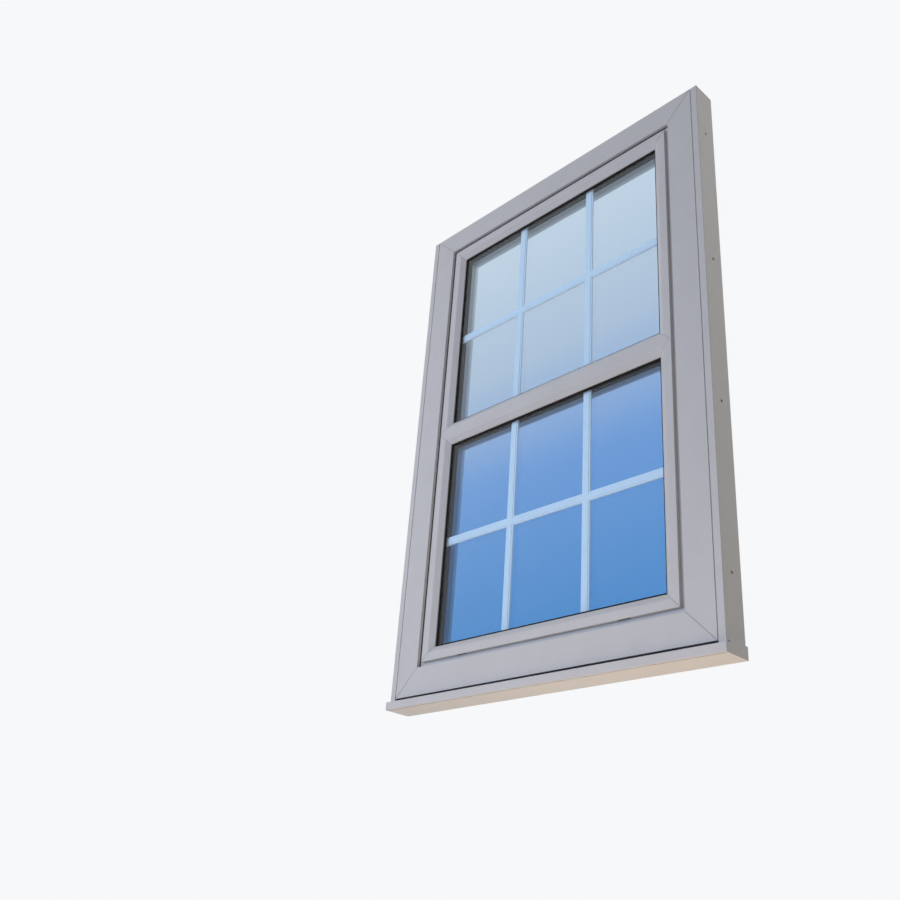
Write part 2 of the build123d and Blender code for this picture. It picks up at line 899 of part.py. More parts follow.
with BuildPart() as cill:
    with BuildSketch(Plane(origin=(-cill_half, 0, 0), x_dir=(0, 1, 0), z_dir=(1, 0, 0))) as section:
        cill_outline(section)
        chamber_wall_y = frame_depth / 2
        chamber_top = cill_front - cill_wall
        cell(-cill_nose + cill_wall, 2 * cill_wall, chamber_wall_y - cill_wall, chamber_top)
        cell(chamber_wall_y, cill_wall, frame_depth - cill_wall, cill_height - cill_wall)
        drip_y = -cill_nose + drip_start
        cell(drip_y, 0, drip_y + drip_width, drip_depth)
    extrude(amount=2 * cill_half)
save(cill, "cill")

for sign, hand in ((-1, "left"), (1, "right")):
    with BuildPart() as end_cap:
        plane_x = sign * (cill_half + cap_thickness / 2) - cap_thickness / 2
        with BuildSketch(Plane(origin=(plane_x, 0, 0), x_dir=(0, 1, 0), z_dir=(1, 0, 0))) as section:
            cill_outline(section)
        extrude(amount=cap_thickness)
    save(end_cap, "cill_end_cap_" + hand)

# Clip-on extension strips outside the jambs
for side in ("left", "right"):
    with BuildPart() as strip:
        with BuildSketch(rail_plane(side)) as section:
            cell(-strip_width, 0, 0, frame_depth, mode=Mode.ADD)
            ease(section, -strip_width, 0)
            half_depth = frame_depth / 2
            chamber_y = strip_line + strip_wall
            chamber_x = -strip_width + strip_wall
            cell(chamber_x, chamber_y, -strip_wall, half_depth - strip_rib_half)
            cell(chamber_x, half_depth + strip_rib_half, -strip_wall, frame_depth - strip_wall)
            cell(-strip_line, -past, past, strip_line)
        extrude(amount=frame_height)
        inner_x, outer_x = half_width + strip_line, half_width + strip_width
        if side == "left":
            inner_x, outer_x = -outer_x, -inner_x
        block(inner_x, outer_x, 0, cill_gap, cill_shelf, bottom)
        if side == "left":
            drill_fixings(-half_width - strip_width, -half_width)
        else:
            drill_fixings(half_width, half_width + strip_width)
    save(strip, side + "_side_strip")


# Lipped keeps on the frame. The tilt keeps hold the cam at both ends of its travel
head_far = sash_edge - cam_reach
head_near = head_far + cam_head_thickness


def add_keep(side, station, lips, play):
    """One keep: a base plate with a hooked lip on the room side of the cam's path."""
    with Locations(rail_plane(side).offset(station)):
        base_u = frame_body + keep_base
        room_y = groove_y + plate_side
        block(frame_body, base_u, groove_y - plate_side, room_y, -keep_half, keep_half)
        lip_u = head_near + play
        wall_y = groove_y + cam_head + play
        lip_y = groove_y + cam_shank + play
        for sign in lips:
            s0, s1 = sorted((sign * lip_start, sign * lip_end))
            block(frame_body, lip_u + lip_thickness, wall_y, room_y, s0, s1)
            block(lip_u, lip_u + lip_thickness, lip_y, room_y, s0, s1)


with BuildPart() as lock_keeps:
    for side in ("right", "head"):
        for station in cams[side]:
            add_keep(side, station, (1,), lock_play)
    for side in ("right", "head"):
        for seat, stand in frame_screw_planes(side):
            countersink(seat, stand)
save(lock_keeps, "lock_keeps")

with BuildPart() as tilt_keeps:
    for station in cams["bottom"]:
        add_keep("bottom", station, (-1, 1), tilt_play)
    for seat, stand in frame_screw_planes("bottom"):
        countersink(seat, stand)
save(tilt_keeps, "tilt_keeps")

with BuildPart() as frame_screws:
    for side in sides:
        for seat, stand in frame_screw_planes(side):
            screw(seat, stand)
save(frame_screws, "frame_hardware_screws")


def upright(x, y, z0, z1, radius, mode=Mode.ADD):
    """Vertical cylinder between two levels."""
    with Locations((x, y, (z0 + z1) / 2)):
        Cylinder(radius, z1 - z0, mode=mode)


def leaf_plate(low, high):
    """Hinge leaf screwed to the jamb's room face."""
    edge = turn_x - hinge_barrel - leaf_gap
    block(leaf_x - leaf_half, edge, frame_depth, frame_depth + leaf, low, high)


def lug(z0, z1):
    """Arm from the leaf to the turning axis."""
    block(leaf_x, turn_x, frame_depth, turn_y, z0, z1)
    upright(turn_x, turn_y, z0, z1, hinge_barrel)


# The upright pin stops inside the corner link's blind bore
bore_top = tilt_z - hinge_pin - bore_floor
pin_top = bore_top - pin_end_gap
with BuildPart() as pivot_bearing:
    leaf_plate(*low_leaf)
    lug(low_leaf[0], knuckle_low)
    upright(turn_x, turn_y, knuckle_low, pin_top, hinge_pin)
    for seat, stand in frame_screw_planes("left")[:2]:
        countersink(seat, stand)
save(pivot_bearing, "pivot_bearing")

with BuildPart() as stay_bearing:
    leaf_plate(*high_leaf)
    lug(knuckle_bottom - lug_height, knuckle_bottom - slip)
    lug(knuckle_high + slip, knuckle_high + lug_height)
    upright(turn_x, turn_y, knuckle_bottom - lug_height, knuckle_high + lug_height, hinge_pin)
    for seat, stand in frame_screw_planes("left")[2:]:
        countersink(seat, stand)
save(stay_bearing, "stay_bearing")

# Corner link: turns on the bearing's pin and carries the level pin that the sash tilts on
with BuildPart() as corner_link:
    upright(turn_x, turn_y, knuckle_low + slip, tilt_z + hinge_barrel + link_crown, hinge_barrel)
    pin_bore = hinge_pin + running_fit
    upright(turn_x, turn_y, knuckle_low + slip, bore_top, pin_bore, mode=Mode.SUBTRACT)
    with BuildSketch(Plane(origin=(turn_x, turn_y, tilt_z), z_dir=(1, 0, 0))) as pin:
        Circle(hinge_pin)
    extrude(amount=bracket_x1 - turn_x + level_pin_end)
save(corner_link, "corner_link")

with BuildPart() as hinge_bracket:
    plate_x = bracket_x0 + bracket_offset
    block(plate_x, bracket_x1, back_y, back_y + leaf, tilt_z, tilt_z + bracket_height)
    low_edge = tilt_z - bracket_foot
    block(bracket_x0, bracket_x1, turn_y, back_y + leaf, low_edge, tilt_z + hinge_barrel)
    with BuildSketch(Plane(origin=(bracket_x0, turn_y, tilt_z), z_dir=(1, 0, 0))) as barrel:
        Circle(hinge_barrel)
    extrude(amount=bracket_x1 - bracket_x0)
    with BuildSketch(Plane(origin=(bracket_x0, turn_y, tilt_z), z_dir=(1, 0, 0))) as bore:
        Circle(hinge_pin + running_fit)
    extrude(amount=bracket_x1 - bracket_x0, mode=Mode.SUBTRACT)
    for seat in bracket_screws:
        countersink(seat, leaf)
save(hinge_bracket, "hinge_bracket")

# Stay arm: knuckle on the top bearing, a crank through the lap gap and a flat arm in the head gap
arm_z = top - frame_body - arm_drop
arm_y0 = groove_y - arm_width / 2
arm_y1 = groove_y + arm_width / 2
crank_y0 = frame_depth + crank_gap
crank_y1 = lap_y - crank_gap
arm_end = turn_x + arm_length
arm_start = -half_width + frame_body + arm_from_jamb
crank_x = arm_start + crank_width
with BuildPart() as stay_arm:
    upright(turn_x, turn_y, knuckle_bottom, knuckle_high, hinge_barrel)
    arm_top = arm_z + arm_thickness
    block(turn_x, crank_x - crank_width / 2, crank_y0, crank_y1, knuckle_bottom, arm_top)
    block(arm_start, crank_x, arm_y0, crank_y1, arm_z, arm_top)
    block(arm_start, arm_end, arm_y0, arm_y1, arm_z, arm_top)
    upright(arm_end, groove_y, arm_z, arm_top, arm_width / 2)
    upright(turn_x, turn_y, knuckle_bottom, knuckle_high, hinge_pin + running_fit, mode=Mode.SUBTRACT)
    upright(arm_end, groove_y, arm_z, arm_top, hinge_pin + slip, mode=Mode.SUBTRACT)
save(stay_arm, "stay_arm")

# Guide on the sash's top edge that the arm's free end runs over. Its stud stops below the arm
sash_top = top - sash_edge
with BuildPart() as stay_guide:
    guide_y0 = groove_y - guide_width / 2
    guide_y1 = groove_y + guide_width / 2
    guide_top = sash_top + guide_thickness
    block(arm_end - guide_half, arm_end + guide_half, guide_y0, guide_y1, sash_top, guide_top)
    upright(arm_end, groove_y, sash_top, arm_z - slip, hinge_pin)
save(stay_guide, "stay_guide")

# Faceplates close the groove. Slots let the cams travel
plate_thickness = plate_seat - plate_recess
plate_names = {"right": "side_faceplate", "head": "top_faceplate", "bottom": "bottom_faceplate"}
rod_names = {"right": "side_drive_rod", "head": "top_drive_rod", "bottom": "bottom_drive_rod"}
cam_names = {"right": "side_cams", "head": "top_cam", "bottom": "bottom_cams"}
plate_end = sash_edge + plate_seat + slip
rod_end = plate_end + rod_travel + rod_end_gap
slot_half = cam_shank + cam_slot_play
slot_reach = rod_travel + slot_half
for side in ("right", "head", "bottom"):
    length = rail_length(side)
    face_u = sash_edge + plate_seat - plate_thickness
    with BuildPart() as faceplate:
        with Locations(rail_plane(side)):
            half = plate_side - plate_play
            back_u = sash_edge + plate_seat
            far_end = length - plate_end
            block(face_u, back_u, groove_y - half, groove_y + half, plate_end, far_end)
            for station in cams[side]:
                s0, s1 = station - slot_reach, station + slot_reach
                y0, y1 = groove_y - slot_half, groove_y + slot_half
                block(face_u, back_u, y0, y1, s0, s1, Mode.SUBTRACT)
    save(faceplate, plate_names[side])
    with BuildPart() as rod:
        with Locations(rail_plane(side)):
            half = rod_width / 2
            block(rod_u, rod_u + rod_thickness, groove_y - half, groove_y + half, rod_end, length - rod_end)
    save(rod, rod_names[side])
    with BuildPart() as cam_group:
        base = rail_plane(side)
        for station in cams[side]:
            spot = base.origin + base.z_dir * station + base.x_dir * head_far + Vector(0, groove_y, 0)
            cam_plane = Plane(origin=spot, x_dir=(0, 1, 0), z_dir=base.x_dir)
            with BuildSketch(cam_plane) as head:
                Circle(cam_head)
            extrude(head.sketch, amount=cam_head_thickness)
            with BuildSketch(cam_plane) as shank:
                Circle(cam_shank)
            extrude(shank.sketch, amount=rod_u - head_far)
    save(cam_group, cam_names[side])

# Gearbox in the right stile, with a bore for the spindle and threads for the handle screws
with BuildPart() as gearbox:
    block(
        half_width - gearbox_end,
        half_width - gearbox_start,
        groove_y - groove_side + slip,
        groove_y + groove_side - slip,
        middle - gearbox_half,
        middle + gearbox_half,
    )
    fillet(gearbox.edges().filter_by(Axis.Y), gearbox_radius)
    with BuildSketch(depth_plane(0)):
        with Locations((handle_x, middle)):
            Circle(spindle_bore)
        with Locations(*handle_screws):
            Circle(screw_radius + screw_fit)
    extrude(amount=-back_y, mode=Mode.SUBTRACT)
save(gearbox, "gearbox")

# Handle: rose, screws, square spindle and lever. It rests level, in its turn position
rose_half = 35.0
rose_radius = 15.0
rose_height = 10.0
rose_bevel = 1.5
neck_radius = 9.0
neck_seat = 2.0
screw_head_radius = 2 * screw_radius
screw_recess = 3.0
screw_head_height = 2.5
lever_gap = 20.0
lever_thickness = 12.0
lever_swell = 1.0
lever_front_radius = 4.0
lever_back_radius = 2.0
spindle_play = 0.2
lever_y = back_y + rose_height + lever_gap
recess_y = back_y + rose_height - screw_recess
with BuildPart() as handle_rose:
    with BuildSketch(depth_plane(back_y)):
        with Locations((handle_x, middle)):
            SlotCenterToCenter(2 * (rose_half - rose_radius), 2 * rose_radius, rotation=90)
    extrude(amount=-rose_height)
    chamfer(handle_rose.faces().sort_by(Axis.Y)[-1].edges(), rose_bevel)
    with BuildSketch(depth_plane(back_y + neck_seat)):
        with Locations((handle_x, middle)):
            Circle(neck_radius + running_fit)
    extrude(amount=-rose_height, mode=Mode.SUBTRACT)
    with BuildSketch(depth_plane(back_y)):
        with Locations((handle_x, middle)):
            Circle(spindle_bore)
        with Locations(*handle_screws):
            Circle(screw_radius + screw_fit)
    extrude(amount=-rose_height, mode=Mode.SUBTRACT)
    with BuildSketch(depth_plane(recess_y)):
        with Locations(*handle_screws):
            Circle(screw_head_radius + screw_fit)
    extrude(amount=-screw_recess, mode=Mode.SUBTRACT)
save(handle_rose, "handle_rose")

with BuildPart() as sash_screws:
    with BuildSketch(depth_plane(groove_y)):
        with Locations(*handle_screws):
            Circle(screw_radius)
    extrude(amount=-(recess_y + screw_head_height / 2 - groove_y))
    with BuildSketch(depth_plane(recess_y)):
        with Locations(*handle_screws):
            Circle(screw_head_radius)
    extrude(amount=-screw_head_height)
    for seat in bracket_screws:
        screw(seat, leaf)
save(sash_screws, "sash_hardware_screws")

with BuildPart() as spindle:
    with BuildSketch(depth_plane(groove_y - groove_side + slip)):
        with Locations((handle_x, middle)):
            Rectangle(spindle_side, spindle_side)
    extrude(amount=-(lever_y + lever_thickness / 2 - groove_y + groove_side - slip))
save(spindle, "handle_spindle")

with BuildPart() as lever:
    with BuildSketch(depth_plane(lever_y)):
        with Locations((handle_x, middle)):
            Circle(neck_radius + lever_swell)
        with Locations((handle_x - lever_length, middle)):
            Circle(neck_radius - lever_swell)
        make_hull()
    extrude(amount=-lever_thickness)
    fillet(lever.faces().sort_by(Axis.Y)[-1].edges(), lever_front_radius)
    fillet(lever.faces().sort_by(Axis.Y)[0].edges(), lever_back_radius)
    with BuildSketch(depth_plane(back_y + neck_seat + slip)):
        with Locations((handle_x, middle)):
            Circle(neck_radius)
    extrude(amount=-(rose_height + lever_gap))
    with BuildSketch(depth_plane(back_y)):
        with Locations((handle_x, middle)):
            Rectangle(spindle_side + spindle_play, spindle_side + spindle_play)
    socket_depth = rose_height + lever_gap + lever_thickness / 2 + spindle_play
    extrude(amount=-socket_depth, mode=Mode.SUBTRACT)
save(lever, "handle_lever")
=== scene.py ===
# %% [markdown]
# # A tilt and turn window in white extruded plastic
#
# The window has a fixed frame, one large sash that tilts inwards or turns inwards, and two sealed
# glass units with white bars between their panes. The imported model gives every hard shape: rails,
# beads, bars, hinges and rods. Blender adds what a solid model can't: how each material takes the
# light, and the small made things, which are weld seams whose grey paints the shade in their
# grooves, a seal below the frame whose black paints the shade of its recess, dark blocks that paint
# the shade in the drain slots, screw heads, slits in the spacers and the cast handle.
#
# Everything is in metres. X runs to the right seen from outside, Y runs into the room, Z runs up.

# %% The fixed model
import math

import bmesh
import bpy
from mathutils import Matrix, Vector


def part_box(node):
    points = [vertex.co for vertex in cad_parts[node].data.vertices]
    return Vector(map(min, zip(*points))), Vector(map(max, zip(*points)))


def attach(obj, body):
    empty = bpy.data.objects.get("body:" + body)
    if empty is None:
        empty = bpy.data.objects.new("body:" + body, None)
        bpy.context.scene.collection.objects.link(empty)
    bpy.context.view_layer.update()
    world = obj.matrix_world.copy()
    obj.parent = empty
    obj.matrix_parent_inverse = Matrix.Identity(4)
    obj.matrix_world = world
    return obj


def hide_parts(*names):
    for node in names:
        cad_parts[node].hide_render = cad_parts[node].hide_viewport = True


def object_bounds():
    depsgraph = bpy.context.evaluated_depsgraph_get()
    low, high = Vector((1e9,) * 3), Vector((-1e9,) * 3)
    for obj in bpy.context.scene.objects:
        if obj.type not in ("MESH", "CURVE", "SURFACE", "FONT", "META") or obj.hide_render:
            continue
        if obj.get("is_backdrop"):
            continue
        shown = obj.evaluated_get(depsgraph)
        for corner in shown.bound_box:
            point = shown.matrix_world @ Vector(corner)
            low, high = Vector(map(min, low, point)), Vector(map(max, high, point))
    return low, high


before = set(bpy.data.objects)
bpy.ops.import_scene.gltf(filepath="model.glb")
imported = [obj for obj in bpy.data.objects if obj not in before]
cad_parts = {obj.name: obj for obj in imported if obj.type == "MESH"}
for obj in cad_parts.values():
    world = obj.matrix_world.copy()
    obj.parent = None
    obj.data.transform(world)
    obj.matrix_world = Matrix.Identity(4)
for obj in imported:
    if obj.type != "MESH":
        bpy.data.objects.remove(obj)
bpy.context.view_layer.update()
MM = 0.001
scene = bpy.context.scene
print("CAD nodes:", len(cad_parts))

# %% [markdown]
# ## The camera
#
# The window is seen from low down and from its right, so its vertical edges lean and its underside
# shows. A camera could be placed by eye, or solved from edges that are known to be level or
# upright. It was solved from such edges, and the result is given here: the three columns below are
# the camera's own right, up and backward directions, and the lens is the one that makes the upright
# and level edges meet where they should.

# %% Camera
camera_data = bpy.data.cameras.new("camera")
camera_data.sensor_width = 36.0
camera_data.lens = 39.91
camera_data.clip_start = 0.05
camera_data.clip_end = 100.0
camera = bpy.data.objects.new("camera", camera_data)
scene.collection.objects.link(camera)
camera_axes = Matrix((
    (0.69045143, 0.28528792, 0.66474629),
    (0.7197085, -0.36337289, -0.59159092),
    (0.07277695, 0.88688832, -0.45621555),
))
camera_place = Vector((1.5505, -1.696, -0.5801))
camera.matrix_world = Matrix.Translation(camera_place) @ camera_axes.to_4x4()
scene.camera = camera
print("camera at", [round(v, 3) for v in camera_place], "lens", camera_data.lens, "mm")

# %% [markdown]
# ## Colours and nodes
#
# Colours are picked as sRGB hex values, as on a paint card, and shaders work on linear light, so
# one function turns the first into the second. A material is a small tree of nodes, and one helper
# adds a node, sets it and links it, so that each material below reads as a list of its parts.

# %% Colour and node helpers
def colour(hex_code):
    """sRGB hex to a linear colour with alpha."""
    parts = [int(hex_code[i:i + 2], 16) / 255 for i in (1, 3, 5)]
    linear = [p / 12.92 if p <= 0.04045 else ((p + 0.055) / 1.055) ** 2.4 for p in parts]
    return (*linear, 1.0)


def add_node(tree, kind, inputs=None, **settings):
    """Add a node. An input is given as a value or as another node's output socket."""
    made = tree.nodes.new(kind)
    for name, value in settings.items():
        setattr(made, name, value)
    for name, value in (inputs or {}).items():
        socket = made.inputs[name]
        if isinstance(value, bpy.types.NodeSocket):
            tree.links.new(value, socket)
        else:
            socket.default_value = value
    return made


def new_material(name):
    """An empty node material with its output, ready for a shader."""
    material = bpy.data.materials.new(name)
    material.use_nodes = True
    material.node_tree.nodes.clear()
    return material, material.node_tree


def finish_material(tree, shader):
    """Plug the shader into the material's output."""
    add_node(tree, "ShaderNodeOutputMaterial", {"Surface": shader})


print("middle grey in linear light:", round(colour("#808080")[0], 3))

# %% [markdown]
# ## Floor and background
#
# The window hangs above a plain pale floor, as it would on a stand in a studio. What the camera
# sees, straight, mirrored or through glass, is a white background. The light that falls on the
# window is kept apart from that: a soft and slightly warm world, and the lamps of the next step. So
# the background can be white without making the window too bright.

# %% Floor and world
def seen_rays(tree):
    """1 for what is seen straight, mirrored or through glass, and 0 for light on the object."""
    paths = add_node(tree, "ShaderNodeLightPath")
    seen = paths.outputs["Is Camera Ray"]
    for other in ("Is Glossy Ray", "Is Transmission Ray"):
        seen = add_node(tree, "ShaderNodeMath", {0: seen, 1: paths.outputs[other]},
                        operation="MAXIMUM").outputs[0]
    return seen


floor_level = -1.35
floor_reach = 40.0
floor_glow = 0.77
world_light = 0.34
floor_mesh = bpy.data.meshes.new("floor")
floor_mesh.from_pydata(
    [(x, y, floor_level) for x, y in (
        (-floor_reach, -floor_reach), (floor_reach, -floor_reach),
        (floor_reach, floor_reach), (-floor_reach, floor_reach))],
    [], [(0, 1, 2, 3)])
floor = bpy.data.objects.new("floor", floor_mesh)
scene.collection.objects.link(floor)
floor_paint, tree = new_material("matt_pale_floor_paint")
matt = add_node(tree, "ShaderNodeBsdfPrincipled", {
    "Base Color": colour("#76787A"), "Roughness": 0.95, "Specular IOR Level": 0.1})
glow = add_node(tree, "ShaderNodeMath", {
    0: seen_rays(tree), 1: floor_glow}, operation="MULTIPLY").outputs[0]
pale = add_node(tree, "ShaderNodeEmission", {"Color": colour("#FBFBFC"), "Strength": glow})
both = add_node(tree, "ShaderNodeAddShader", {0: matt.outputs["BSDF"], 1: pale.outputs[0]})
finish_material(tree, both.outputs[0])
floor_mesh.materials.append(floor_paint)
floor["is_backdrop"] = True

world = bpy.data.worlds.new("studio")
scene.world = world
world.use_nodes = True
tree = world.node_tree
tree.nodes.clear()
soft = add_node(tree, "ShaderNodeBackground", {
    "Color": colour("#EFE6D9"), "Strength": world_light})
white = add_node(tree, "ShaderNodeBackground", {"Color": colour("#F7F8FA"), "Strength": 1.0})
blend = add_node(tree, "ShaderNodeMixShader", {
    0: seen_rays(tree), 1: soft.outputs[0], 2: white.outputs[0]})
add_node(tree, "ShaderNodeOutputWorld", {"Surface": blend.outputs[0]})
scene.view_settings.view_transform = "Standard"
print("floor at", floor_level, "m")

# %% [markdown]
# ## Lamps
#
# Three soft lamps light the outside. A broad cool one stands low in front, so that the foot of the
# window is brighter and a little bluer than its head. A warm one fills from the upper left, and a
# weak warm one lies below for the undersides. Two more light the room side, so that hinges and
# handle show when the window is seen from there. Lamps could be strong and small, but small lamps
# draw hard shadows on the many steps of the profiles.

# %% Lamps
def lamp(name, place, aim, size, power, tint):
    """A square soft lamp that looks at a point. The size is in metres and the power in watts."""
    data = bpy.data.lights.new(name, "AREA")
    data.shape = "SQUARE"
    data.size = size
    data.energy = power
    data.color = colour(tint)[:3]
    made = bpy.data.objects.new(name, data)
    scene.collection.objects.link(made)
    made.visible_glossy = False
    made.visible_transmission = False
    turn = (Vector(aim) - Vector(place)).to_track_quat("-Z", "Y")
    made.matrix_world = Matrix.Translation(place) @ turn.to_matrix().to_4x4()


lamp("front_lamp", (-0.9, -3.0, 0.5), (0.0, 0.0, 0.0), 2.6, 61.0, "#C8D9F8")
lamp("left_lamp", (-4.0, -2.0, 2.1), (0.0, 0.0, 1.55), 2.5, 36.0, "#FFE4C2")
lamp("low_warm_lamp", (0.3, -0.34, -1.28), (0.2, -0.05, 1.3), 1.3, 17.0, "#FFDFBA")
lamp("room_lamp", (1.0, 3.6, 3.0), (0.0, 0.0, 0.77), 3.0, 155.0, "#FDFAF6")
lamp("room_fill", (-3.4, 2.8, 0.2), (0.0, 0.0, 0.9), 2.5, 58.0, "#F6F8FF")
print("lamps:", len(bpy.data.lights))

# %% [markdown]
# ## White extruded plastic
#
# The frame and the sash are rigid white PVC, pushed as a hot paste through a steel die and cooled
# in a bath. The eye gets a soft satin gloss, faint lines along the length from the die, and a
# slight unevenness across. A plain colour would look like paper, so the lines and the unevenness go
# into the roughness and a very small bump. The lines run along each rail, so there is one material
# for upright rails and one for level ones.

# %% White plastic
die_line_spacing = 1.6 * MM
line_length = 60 * die_line_spacing
handling_patch = 90 * MM


def extruded_white(name, along):
    """Satin white PVC with die lines that run along X or Z. Real die lines are finer than 0.5 mm,
    and they are drawn 1.6 mm apart here, so that they show."""
    material, tree = new_material(name)
    place = add_node(tree, "ShaderNodeTexCoord").outputs["Object"]
    fine, drawn = 1 / die_line_spacing, 1 / line_length
    scale = (drawn, fine, fine) if along == "X" else (fine, fine, drawn)
    stretched = add_node(tree, "ShaderNodeMapping", {"Vector": place, "Scale": scale}).outputs[0]
    lines = add_node(tree, "ShaderNodeTexNoise", {
        "Vector": stretched, "Scale": 1.0, "Detail": 2.0}).outputs["Fac"]
    patches = add_node(tree, "ShaderNodeTexNoise", {
        "Vector": place, "Scale": 1 / handling_patch, "Detail": 4.0, "Roughness": 0.6})
    dust = add_node(tree, "ShaderNodeMapRange", {
        "Value": patches.outputs["Fac"], "From Min": 0.35, "From Max": 0.7,
        "To Min": 0.0, "To Max": 1.0})
    tone = add_node(tree, "ShaderNodeMix", {
        0: dust.outputs[0], 6: colour("#D1D2D5"), 7: colour("#CDCED0")}, data_type="RGBA")
    gloss = add_node(tree, "ShaderNodeMapRange", {"Value": lines, "To Min": 0.3, "To Max": 0.42})
    relief = add_node(tree, "ShaderNodeBump", {
        "Height": lines, "Strength": 0.25, "Distance": 0.03 * MM})
    plastic = add_node(tree, "ShaderNodeBsdfPrincipled", {
        "Base Color": tone.outputs[2], "Roughness": gloss.outputs[0], "IOR": 1.53,
        "Normal": relief.outputs[0]})
    finish_material(tree, plastic.outputs["BSDF"])
    return material


white_level = extruded_white("extruded_white_pvc_level", "X")
white_upright = extruded_white("extruded_white_pvc_upright", "Z")
print("white plastic:", white_level.name, white_upright.name)

# %% [markdown]
# ## Gaskets and seals
#
# The seals are EPDM rubber, also extruded. New rubber is nearly black with a dull bloom, which is a
# pale haze that comes to the surface. Fine noise in the roughness gives that bloom. Rubber has an
# IOR near 1.5, but the white background would mirror in it as grey, so it is set lower. The gasket
# on the fixed frame is made a dull grey-brown, a painted shade that stands for the shaded gap
# between sash and frame.

# %% Black rubber
def fine_grain(tree, grain, low, high):
    """Noise of a real grain size in metres, as it is and turned into a range of values."""
    place = add_node(tree, "ShaderNodeTexCoord").outputs["Object"]
    noise = add_node(tree, "ShaderNodeTexNoise", {
        "Vector": place, "Scale": 1 / grain, "Detail": 3.0}).outputs["Fac"]
    spread = add_node(tree, "ShaderNodeMapRange", {
        "Value": noise, "From Min": 0.3, "From Max": 0.7, "To Min": low, "To Max": high})
    return noise, spread.outputs[0]


def grained(name, light, dark, grain, rough, bump, metallic=0.0, ior=1.5):
    """A material with two close tones and a rough skin, all from one grain size."""
    material, tree = new_material(name)
    noise, spread = fine_grain(tree, grain, rough[0], rough[1])
    tone = add_node(tree, "ShaderNodeMix", {
        0: noise, 6: colour(dark), 7: colour(light)}, data_type="RGBA").outputs[2]
    relief = add_node(tree, "ShaderNodeBump", {
        "Height": noise, "Strength": 0.5, "Distance": bump}).outputs[0]
    skin = add_node(tree, "ShaderNodeBsdfPrincipled", {
        "Base Color": tone, "Roughness": spread, "Normal": relief, "Metallic": metallic})
    if not metallic:
        skin.inputs["IOR"].default_value = ior
    finish_material(tree, skin.outputs["BSDF"])
    return material


rubber = grained("extruded_black_epdm", "#1C1D1F", "#141517", grain=3.0 * MM,
                 rough=(0.6, 0.75), bump=0.02 * MM, ior=1.25)
# painted shade: the frame gasket's grey-brown stands for the shaded gap between sash and frame
gap_shade_rubber = grained("grey_brown_epdm_painted_shade", "#66645F", "#4C4A46", grain=3.0 * MM,
                       rough=(0.75, 0.9), bump=0.02 * MM)
print("rubber:", rubber.name, "and", gap_shade_rubber.name)

# %% [markdown]
# ## Glass
#
# Each unit has two panes of float glass. The outer one is faintly blue. The inner one carries a
# thin metal oxide coating that keeps heat in. Real panes take much of their blue from what they
# mirror, and a plain studio has nothing blue to mirror, so that blue is a painted reflection put
# into the panes, pale at the head and deeper at the foot, and most of it behind the bars. It stays
# in place from every side. Float glass has an IOR of 1.52. It is set lower here, because the white
# background would mirror in the panes and wash out the dark line round each light.

# %% Float glass
pane_ior = 1.36
haze_patch = 60 * MM


def float_glass(name, tint, let_through):
    """Smooth glass that bends and mirrors what is seen, and lets the lamps' light through. The
    tint is a colour, or a function that adds nodes to the tree and gives back their colour."""
    material, tree = new_material(name)
    if callable(tint):
        tint = tint(tree)
    gloss = fine_grain(tree, haze_patch, 0.0, 0.012)[1]
    solid = add_node(tree, "ShaderNodeBsdfPrincipled", {
        "Base Color": tint, "Roughness": gloss, "IOR": pane_ior, "Transmission Weight": 1.0})
    lit = add_node(tree, "ShaderNodeBsdfTransparent", {"Color": colour(let_through)})
    lamp_ray = add_node(tree, "ShaderNodeLightPath").outputs["Is Shadow Ray"]
    both = add_node(tree, "ShaderNodeMixShader", {
        0: lamp_ray, 1: solid.outputs["BSDF"], 2: lit.outputs[0]})
    finish_material(tree, both.outputs[0])
    return material


def painted_sky_by_height(tree):
    """Painted reflection of sky: pale blue at the window's head, deeper blue at its foot."""
    place = add_node(tree, "ShaderNodeTexCoord").outputs["Object"]
    level = add_node(tree, "ShaderNodeSeparateXYZ", {0: place}).outputs["Z"]
    height = add_node(tree, "ShaderNodeMapRange", {
        "Value": level, "From Min": glass_low, "From Max": glass_high}).outputs[0]
    ramp = add_node(tree, "ShaderNodeValToRGB", {"Fac": height})
    stops = ramp.color_ramp.elements
    stops[0].color = colour("#408ECC")
    stops[1].color = colour("#E4E7EA")
    stops.new(0.35).color = colour("#74A2DB")
    stops.new(0.62).color = colour("#C8CFDC")
    return ramp.outputs["Color"]


glass_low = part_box("lower_inner_pane")[0].z
glass_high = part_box("upper_inner_pane")[1].z
pale_glass = float_glass("pale_blue_float_glass", colour("#DCEFFC"), "#F4F8FD")
# painted reflection: the inner pane's blue, deeper at the foot, stands for mirrored sky
coated_glass = float_glass("coated_float_glass", painted_sky_by_height, "#D6E2F2")
print("glass from", round(glass_low / MM), "to", round(glass_high / MM), "mm")

# %% [markdown]
# ## Metals and small plastics
#
# Galvanised steel has a crystal pattern of zinc, called spangle, a few millimetres across. The
# hinges, rods and keeps are die-cast or pressed, zinc plated and sealed, with a duller, finer skin.
# The spacer between the panes is rolled aluminium, anodised black, and the black also paints the
# shade that lies on the spacer between the panes, so that it reads as one dark line round the
# glass.
# The bars between the panes are aluminium with a stoved white lacquer, and the handle is cast metal
# with a white powder coat. The packers under the glass are blue plastic.

